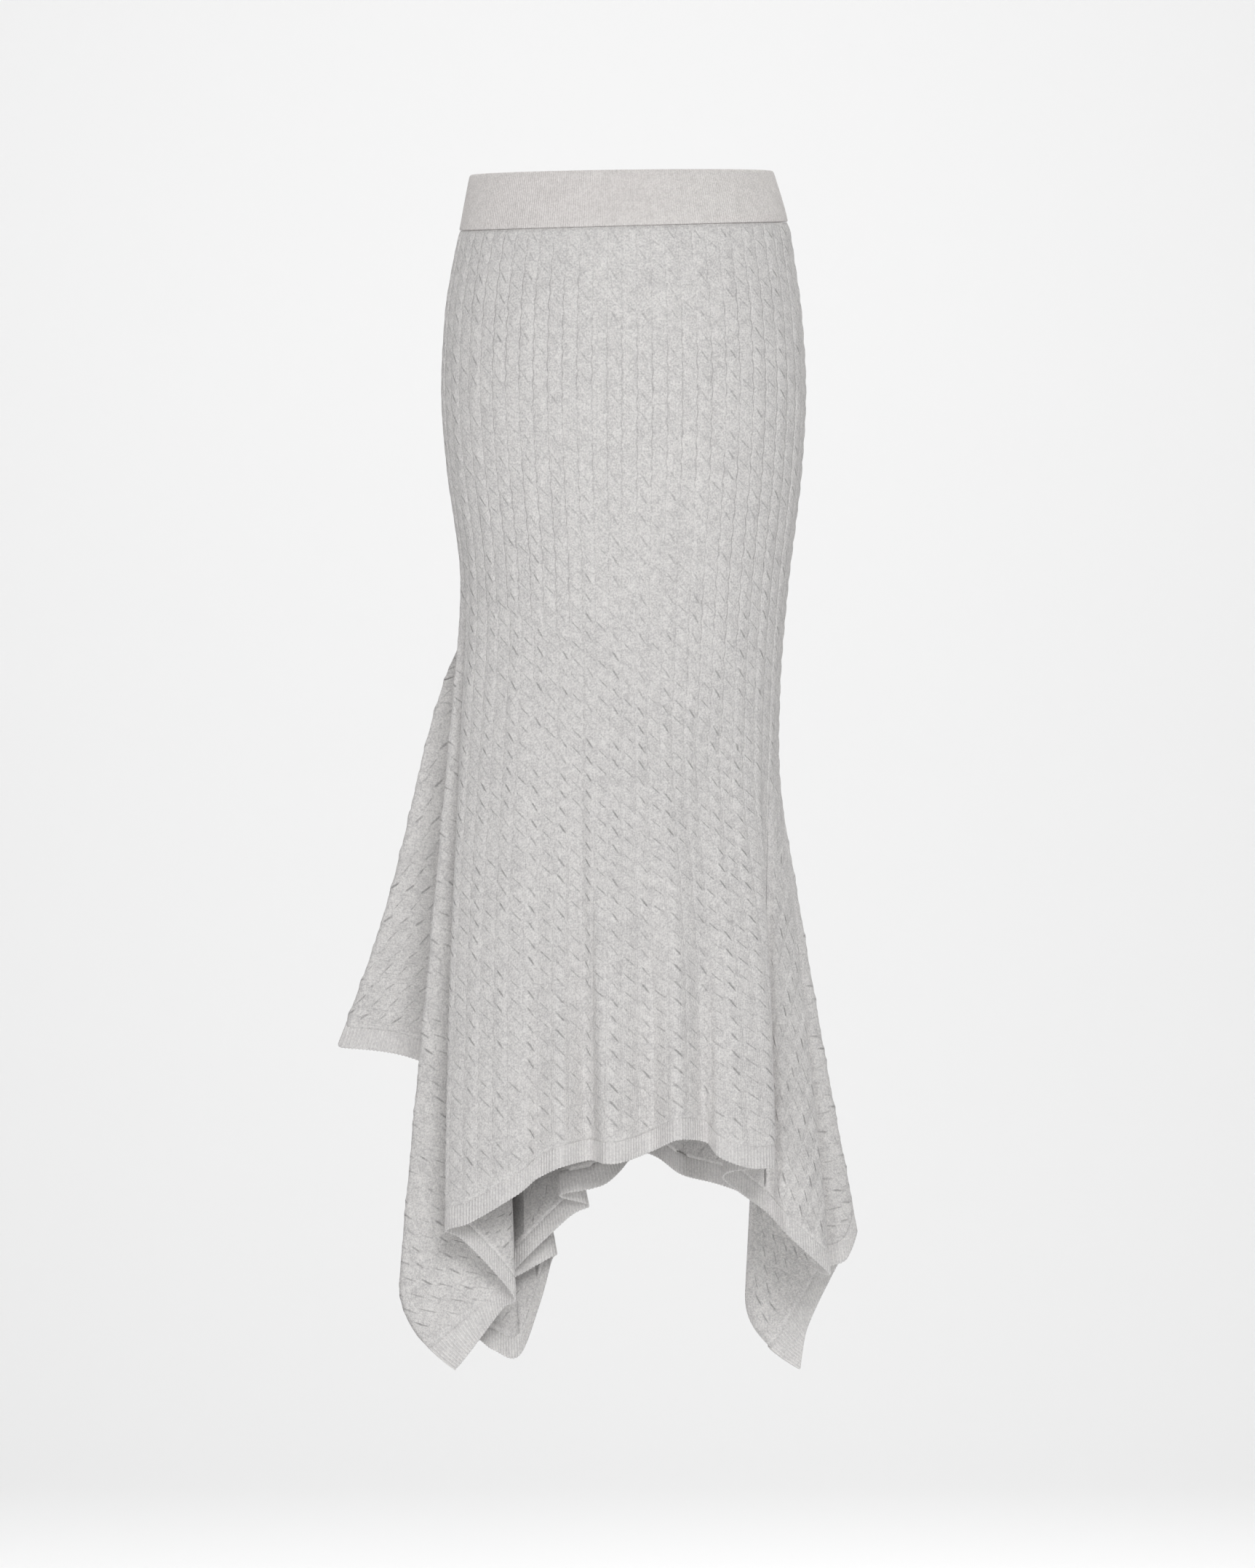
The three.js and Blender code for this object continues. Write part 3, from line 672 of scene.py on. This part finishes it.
def panel(name, start, end, steps, rows):
    """The inner face has one step for every two of the outer one."""
    outer = spaced_turns(start, end, 2 * steps + 1, (0.5, 1.6, 1.98), shows)
    inner = outer[::-2]
    turns = np.concatenate([outer, inner, outer[:1]])
    outside = np.concatenate([np.ones(len(outer)), np.zeros(len(inner)), [1]])
    turns = np.clip(turns, start + SEAM_INSET, end - SEAM_INSET)
    bottom = rib_level(turns)
    share = np.linspace(0, 1, rows)[:, None]
    above = np.clip(share / KNEE_SHARE, 0, 1)
    below = np.clip((share - KNEE_SHARE) / (1 - KNEE_SHARE), 0, 1)
    level = TOP_LEVEL + (1 - TOP_LEVEL) * above + (bottom[None, :] - 1) * below
    turn = np.broadcast_to(turns, level.shape)
    face = cloth_point(turn, level)
    normal = outward(cloth_point, turn, level)
    repeats, crossings, kept = pattern(turn, level)
    edge = smooth(share, 0, EDGE_FADE) * (1 - smooth(share, *FOOT_FADE))
    strength = relief_strength(turn, level) * kept * edge
    height = np.where(outside > 0, WALL / 2 + cable_relief(repeats, crossings) * strength,
                      -WALL / 2 + INNER_SHARE * cable_relief(repeats, crossings) * strength)
    points = face + normal * (height * np.maximum(smooth(share, 0, EDGE_FADE), 0.5))[..., None]
    uv = np.stack([repeats, crossings], -1)

    def close(cloth, point):
        last = 2 * steps
        for r in (0, rows - 1):
            for k in range(steps):
                a, b = last + 1 + (steps - k), last + 1 + (steps - k - 1)
                cloth.faces.new([point(r, 2 * k + i) for i in range(3)] + [point(r, b), point(r, a)])

    drawn = gutter_strength(level) * kept * edge
    return lay(name, len(turns), rows, points, uv, strength, drawn, close)


def relief_strength(turn, level):
    """The knit is stretched flat over the hip and stands up at the sides and in the flare."""
    side = np.abs(np.sin(2 * math.pi * turn))
    hip = 0.48 + 0.50 * side ** 3
    return hip + (1 - hip) * smooth(level, 0.45, 1.2)


def gutter_strength(level):
    """The dotted gutters show where the knit is stretched, and close up in the flare."""
    return 1 - 0.72 * smooth(level, 0.6, 1.25)


# %% Panels
PANEL_STEPS = 148
PANEL_ROWS = 222
front = panel("front_knit", RIGHT_SEAM - 1, LEFT_SEAM, PANEL_STEPS, PANEL_ROWS)
back = panel("back_knit", LEFT_SEAM, RIGHT_SEAM, PANEL_STEPS, PANEL_ROWS)

# %% [markdown]
# ## Ribs at the hem and the waist
# The hem is edged in a 1x1 rib about 20 mm tall, and the waistband is a rib folded double. A rib is
# a row of small rounded columns, so its wall rises and sinks every few millimetres. The waistband's
# columns are 2.1 mm apart here, which is finer than the 3.5 mm or so that the picture shows.

# %% Hem ribs
HEM_RIB_PITCH = 3.5
RIB_WALL = 2.0
RIB_BULGE = 0.15        # how far each column stands out or in
RIB_SCALLOP = 0.5       # how far the lower edge dips at each column
HEM_ROW = 1.25          # height of a row of stitches
# down the outer face, round the edge and up the inner face: share of the height, side
HEM_SECTION = [(-0.08, 0.5), (-0.01, 0.6), (0.02, 1), (0.14, 1), (0.28, 1), (0.42, 1), (0.56, 1),
               (0.7, 1), (0.84, 1), (0.96, 1), (1.0, 0.55), (1.0, -0.55), (0.96, -1), (0.75, -1),
               (0.5, -1), (0.25, -1), (0.02, -1), (-0.01, -0.6), (-0.08, -0.5), (-0.08, 0.5)]


def section_columns(section):
    """The two numbers of a cross-section's points, each as a column."""
    return np.array(section, float).T[:, :, None]


def hem_edge(name, start, end, step):
    fine = np.linspace(start + SEAM_INSET, end - SEAM_INSET, 6001)
    row = cloth_point(fine, np.full_like(fine, 1.985))
    length = np.concatenate([[0], np.cumsum(np.linalg.norm(np.diff(row, axis=0), axis=1))])
    count = int(length[-1] / step)
    turns = np.interp(np.linspace(0, length[-1], count), length, fine)
    run = np.linspace(0, length[-1], count)
    top = rib_level(turns)
    share, side = section_columns(HEM_SECTION)
    level = top[None, :] + (2 - top[None, :]) * share
    turn = np.broadcast_to(turns, level.shape)
    face = cloth_point(turn, level)
    normal = outward(cloth_point, turn, level)
    rib = np.cos(2 * math.pi * run / HEM_RIB_PITCH)[None, :]
    height = side * (RIB_WALL / 2) + side * RIB_BULGE * rib * smooth(share, 0.0, 0.12)
    points = face + normal * height[..., None]
    points[..., 2] -= RIB_SCALLOP * rib * smooth(share, 0.9, 1.0)
    uv = np.stack([np.broadcast_to(run / HEM_RIB_PITCH, level.shape),
                   share * np.ones_like(level) * HEM_RIB / HEM_ROW], -1)

    def close(cloth, point):
        for c in (0, count - 1):
            cloth.faces.new([point(r, c) for r in range(len(HEM_SECTION) - 1)])

    full = np.ones_like(level)
    return lay(name, count, len(HEM_SECTION), points, uv, full, full, close)


hem_front = hem_edge("hem_rib_front_knit", RIGHT_SEAM - 1, LEFT_SEAM, 1.0)
hem_back = hem_edge("hem_rib_back_knit", LEFT_SEAM, RIGHT_SEAM, 1.1)

# %% Waistband
BAND_WALL = 3.4
BAND_RIBS = 370
BAND_RIB_POINTS = 4     # points across one rib
BAND_BULGE = 0.12       # how far each rib stands out or in
BAND_TALL = 51          # height of the band, from its top to the seam
BAND_ROW = 1.1          # height of a row of stitches
# up the outer face from the seam, over the top and down the inner face: level, side
BAND_SECTION = [(0.994, 0.2), (0.99, 0.75), (0.97, 1), (0.85, 1), (0.7, 1.04), (0.5, 1.06),
                (0.3, 1.04), (0.12, 1), (0.03, 0.9), (0.0, 0.55), (-0.012, 0.0), (0.0, -0.55),
                (0.03, -0.9), (0.2, -1), (0.6, -1), (0.97, -1), (0.99, -0.75), (0.994, -0.2),
                (0.994, 0.2)]


def waistband():
    count = BAND_RIBS * BAND_RIB_POINTS + 1
    turns = np.linspace(0, 1, count)
    share, side = section_columns(BAND_SECTION)
    level = share * np.ones((1, count))
    turn = np.broadcast_to(turns, level.shape)
    face = band_point(turn, level)
    normal = outward(band_point, turn, level)
    rib = np.cos(2 * math.pi * turns * BAND_RIBS)[None, :]
    height = side * (BAND_WALL / 2 - 0.1) + side * BAND_BULGE * rib
    points = face + normal * height[..., None]
    points[:, -1] = points[:, 0]
    uv = np.stack([turn * BAND_RIBS, share * np.ones_like(level) * BAND_TALL / BAND_ROW], -1)
    full = np.ones_like(level)
    return lay("waistband_knit", count, len(BAND_SECTION), points, uv, full, full,
               lambda cloth, point: None)    # it closes on itself, and has no edges to fill


band = waistband()

# %% [markdown]
# ## Wool knit
# The yarn is a soft grey marl: light and darker fibres are spun together, so its colour changes from
# stitch to stitch and drifts in soft clouds. Wool is matt, with a faint sheen from its loose fibres.
# Fine stitches are drawn as bump from the pattern map, with the dotted gutters beside the cables and
# the short slanted crease at each crossing; the gutters and creases are also painted darker, as
# painted shade in these hollows. A picture of knit would repeat and blur up close; drawn from the
# map, each crease follows its own cable.

# %% Yarn
def wool(name, light, dark):
    material = bpy.data.materials.new(name)
    material.use_nodes = True
    tree = material.node_tree
    shader = tree.nodes["Principled BSDF"]
    shader.inputs["Roughness"].default_value = 0.92
    shader.inputs["Specular IOR Level"].default_value = 0.16
    shader.inputs["Sheen Weight"].default_value = 0.18
    shader.inputs["Sheen Roughness"].default_value = 0.5
    shader.inputs["Sheen Tint"].default_value = linear("#F2F0EE")
    place = add(tree, "ShaderNodeTexCoord").outputs["Object"]
    fibres, tufts, drift = [
        add(tree, "ShaderNodeTexNoise", {}, Vector=place, Scale=scale, Detail=detail, Roughness=rough)
        for scale, detail, rough in ((520.0, 2.0, 0.8), (130.0, 1.0, 0.5), (45.0, 3.0, 0.6))]
    marl = calc(tree, "ADD", calc(tree, "MULTIPLY", fibres.outputs["Fac"], 0.72),
                calc(tree, "MULTIPLY", tufts.outputs["Fac"], 0.17))
    marl = calc(tree, "ADD", marl, calc(tree, "MULTIPLY", drift.outputs["Fac"], 0.13))
    mix = fade(tree, marl, 0.30, 0.70, 0.0, 1.0)
    colour = add(tree, "ShaderNodeMix", {"data_type": "RGBA"}, Factor=mix)
    colour.inputs[6].default_value = linear(dark)
    colour.inputs[7].default_value = linear(light)
    return material, tree, shader, colour.outputs[2], fibres.outputs["Fac"]


def stitches(tree, wales, rows):
    """Height of fine V stitches, from wale and row counts."""
    half = calc(tree, "ABSOLUTE", calc(tree, "SUBTRACT", calc(tree, "FRACT", wales), 0.5))
    slanted = calc(tree, "ADD", rows, calc(tree, "MULTIPLY", half, 1.5))
    legs = calc(tree, "SINE", calc(tree, "MULTIPLY", slanted, 2 * math.pi))
    valley = fade(tree, half, 0.30, 0.5, 0.0, 1.0)
    return calc(tree, "SUBTRACT", calc(tree, "MULTIPLY", legs, 0.4), valley)


# mixes a colour towards a darker one by the given amount: both knits use it to paint shade into their
# hollows
def paint_shade(tree, colour, amount, painted_shade):
    mixed = add(tree, "ShaderNodeMix", {"data_type": "RGBA"}, Factor=amount)
    tree.links.new(colour, mixed.inputs[6])
    mixed.inputs[7].default_value = linear(painted_shade)
    return mixed.outputs[2]


def finish_wool(tree, shader, colour, height, fibres):
    """Height is in millimetres."""
    bump = add(tree, "ShaderNodeBump", {}, Height=height, Strength=1.0, Distance=0.001)
    fuzz = add(tree, "ShaderNodeBump", {}, Height=fibres, Strength=0.45, Distance=0.0006,
               Normal=bump.outputs[0])
    tree.links.new(fuzz.outputs[0], shader.inputs["Normal"])
    tree.links.new(colour, shader.inputs["Base Color"])


# %% Cable knit
WALES_IN_REPEAT = 16
ROWS_IN_CROSSING = 14


def crease(tree, phase, across, wide, reach):
    """1 in the middle of each slanted crease of a column, falling to 0 at its sides and ends."""
    slant = calc(tree, "ADD", phase, calc(tree, "MULTIPLY", across, SLANT))
    bend = calc(tree, "MULTIPLY", calc(tree, "POWER", calc(tree, "ABSOLUTE", across), 3.0), 0.10)
    slant = calc(tree, "SUBTRACT", slant, calc(tree, "MULTIPLY", bend, calc(tree, "SIGN", across)))
    line = calc(tree, "ABSOLUTE", calc(tree, "SUBTRACT", calc(tree, "FRACT", slant), 0.5))
    ends = fade(tree, calc(tree, "ABSOLUTE", across), reach * 0.45, reach)
    return calc(tree, "MULTIPLY", fade(tree, line, 0.0, wide), ends)


def cable_knit():
    material, tree, shader, colour, fibres = wool("Wool, cable knitted", "#F0EEEC", "#C2C0C0")
    uv = add(tree, "ShaderNodeUVMap", {"uv_map": "Knit"}).outputs[0]
    axes = add(tree, "ShaderNodeSeparateXYZ", {}, Vector=uv)
    repeats, crossings = axes.outputs[0], axes.outputs[1]
    depth = add(tree, "ShaderNodeAttribute", {"attribute_name": "Relief"}).outputs["Fac"]
    drawn = add(tree, "ShaderNodeAttribute", {"attribute_name": "Gutters"}).outputs["Fac"]
    column = calc(tree, "FLOOR", repeats)
    jitter = calc(tree, "SINE", calc(tree, "MULTIPLY", column, UNEVEN_STEP))
    phase = calc(tree, "ADD", crossings, calc(tree, "MULTIPLY", jitter, UNEVEN))
    wave = calc(tree, "SINE", calc(tree, "MULTIPLY", phase, 2 * math.pi))
    wave = calc(tree, "MULTIPLY", wave, WANDER)
    place = calc(tree, "FRACT", calc(tree, "ADD", repeats, wave))
    is_flat = calc(tree, "GREATER_THAN", place, 0.5)
    middle = calc(tree, "ADD", 0.25, calc(tree, "MULTIPLY", is_flat, 0.5))
    across = calc(tree, "MULTIPLY", calc(tree, "SUBTRACT", place, middle), 4.0)
    edge = calc(tree, "SUBTRACT", 1.0, calc(tree, "ABSOLUTE", across))
    trough = fade(tree, edge, 0.0, 0.16)
    # a thin line along each gutter, painted darker as shade in the gutter
    gutter_shade_line = fade(tree, edge, 0.02, 0.10)
    dots = calc(tree, "SINE", calc(tree, "MULTIPLY", crossings, 2 * math.pi * ROWS_IN_CROSSING))
    dots = calc(tree, "ADD", calc(tree, "MULTIPLY", dots, 0.4), 0.6)
    dotted_shade = calc(tree, "MULTIPLY", gutter_shade_line, dots)
    # the flat columns cross half-way between the cables' crossings, and less deeply
    phase = calc(tree, "ADD", phase, calc(tree, "MULTIPLY", is_flat, 0.5))
    tuck = calc(tree, "MULTIPLY", crease(tree, phase, across, 0.10, 0.75),
                calc(tree, "SUBTRACT", 1.0, calc(tree, "MULTIPLY", is_flat, 0.4)))
    patchy = add(tree, "ShaderNodeTexNoise", {}, Scale=40.0, Detail=2.0,
                 Vector=add(tree, "ShaderNodeTexCoord").outputs["Object"])
    # some creases are deep and some nearly closed, and all fade where the knit is stretched flat
    tuck = calc(tree, "MULTIPLY", tuck, fade(tree, patchy.outputs["Fac"], 0.38, 0.62, 0.30, 1.0))
    tuck = calc(tree, "MULTIPLY", tuck, depth)
    # the dotted gutters are pulled open in some places and closed in others
    pulled = add(tree, "ShaderNodeTexNoise", {}, Scale=8.0, Detail=2.0,
                 Vector=add(tree, "ShaderNodeTexCoord").outputs["Object"])
    drawn = calc(tree, "MULTIPLY", drawn, fade(tree, pulled.outputs["Fac"], 0.38, 0.58, 0.40, 1.0))
    fine = stitches(tree, calc(tree, "MULTIPLY", repeats, WALES_IN_REPEAT),
                    calc(tree, "MULTIPLY", crossings, ROWS_IN_CROSSING))
    # each strand rises towards the crease that it dives under, and the next starts low
    strand = calc(tree, "ADD", phase, calc(tree, "MULTIPLY", across, SLANT))
    strand = calc(tree, "FRACT", calc(tree, "ADD", strand, 0.5))
    rounded = calc(tree, "SUBTRACT", 1.0, calc(tree, "MULTIPLY", across, across))
    rise = calc(tree, "MULTIPLY", calc(tree, "MULTIPLY", strand, rounded), depth)
    stands = calc(tree, "SUBTRACT", 1.15, calc(tree, "MULTIPLY", is_flat, 0.35))
    rise = calc(tree, "MULTIPLY", rise, stands)
    low = calc(tree, "ADD", calc(tree, "MULTIPLY", calc(tree, "MULTIPLY", trough, drawn), 0.45),
               calc(tree, "MULTIPLY", tuck, 0.9))
    low = calc(tree, "SUBTRACT", low, rise)
    fine = calc(tree, "MULTIPLY", fine, fade(tree, depth, 0.0, 0.2, 0.0, 0.15))
    height = calc(tree, "SUBTRACT", fine, low)
    # painted shade: the dotted gutter lines and the creases are painted darker towards #868585, as
    # shade in these hollows
    painted_shade = calc(tree, "ADD", calc(tree, "MULTIPLY", calc(tree, "MULTIPLY", dotted_shade, drawn), 0.42),
                 calc(tree, "MULTIPLY", tuck, 0.52))
    colour = paint_shade(tree, colour, painted_shade, "#868585")
    finish_wool(tree, shader, colour, height, fibres)
    return material


# %% Rib knit
def rib_knit(name, light, dark, groove_shade, strength, deep):
    """Groove is the painted shade between two columns, strength how much it shows, deep its
    millimetres.
    """
    material, tree, shader, colour, fibres = wool(name, light, dark)
    uv = add(tree, "ShaderNodeUVMap", {"uv_map": "Knit"}).outputs[0]
    axes = add(tree, "ShaderNodeSeparateXYZ", {}, Vector=uv)
    ribs, rows = axes.outputs[0], axes.outputs[1]
    across = calc(tree, "ABSOLUTE", calc(tree, "SUBTRACT", calc(tree, "FRACT", ribs), 0.5))
    hollow = fade(tree, across, 0.22, 0.5, 1.0, 0.0)
    slanted = calc(tree, "ADD", rows, calc(tree, "MULTIPLY", across, 1.2))
    legs = calc(tree, "SINE", calc(tree, "MULTIPLY", slanted, 2 * math.pi))
    height = calc(tree, "SUBTRACT", calc(tree, "MULTIPLY", legs, 0.15), hollow)
    height = calc(tree, "MULTIPLY", height, deep)
    # painted shade: the hollows between the rib's columns are painted darker towards the groove
    # colour
    colour = paint_shade(tree, colour, calc(tree, "MULTIPLY", hollow, strength), groove_shade)
    finish_wool(tree, shader, colour, height, fibres)
    return material


# %% Dress the pieces
body_wool = cable_knit()
# the third colour of each rib is painted shade in the grooves between its columns
waist_wool = rib_knit("Wool, fine rib folded double", "#FAF6F4", "#D7D3D1", "#AEABA9", 0.30, 0.25)
hem_wool = rib_knit("Wool, rib at the hem", "#FAF8F6", "#D5D3D3", "#ABA9A8", 0.30, 0.32)
for piece, material, node, slot in (
    (front, body_wool, "front_panel", "body_knit"),
    (back, body_wool, "back_panel", "body_knit"),
    (hem_front, hem_wool, "hem_rib_front", "hem_rib"),
    (hem_back, hem_wool, "hem_rib_back", "hem_rib"),
    (band, waist_wool, "waistband", "waist_rib"),
):
    piece.data.materials.append(material)
    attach(piece, "root")
    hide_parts(node)

# %% [markdown]
# ## What was cut
# Each piece is a sheet of cloth. For the front and back panels, the flat size is measured on the form
# that they are laid on: how long the hem line is, with the area that the surface has.

# %% Flat sizes
def surface(start, end, top, bottom, columns=900, rows=90):
    turn, level = np.meshgrid(np.linspace(start, end, columns), np.linspace(top, bottom, rows))
    face = cloth_point(turn, level)
    a = face[1:, :-1] - face[:-1, :-1]
    b = face[:-1, 1:] - face[:-1, :-1]
    return float(np.linalg.norm(np.cross(a, b), axis=2).sum()) * MM * MM


for label, first, last in (("front", RIGHT_SEAM - 1, LEFT_SEAM), ("back", LEFT_SEAM, RIGHT_SEAM)):
    turns = np.linspace(first, last, 2001)
    hem = np.linalg.norm(np.diff(cloth_point(turns, np.full(2001, 1.99)), axis=0), axis=1).sum()
    print(label, "panel area", round(surface(first, last, 0, 1.97), 3), "hem", round(float(hem)))
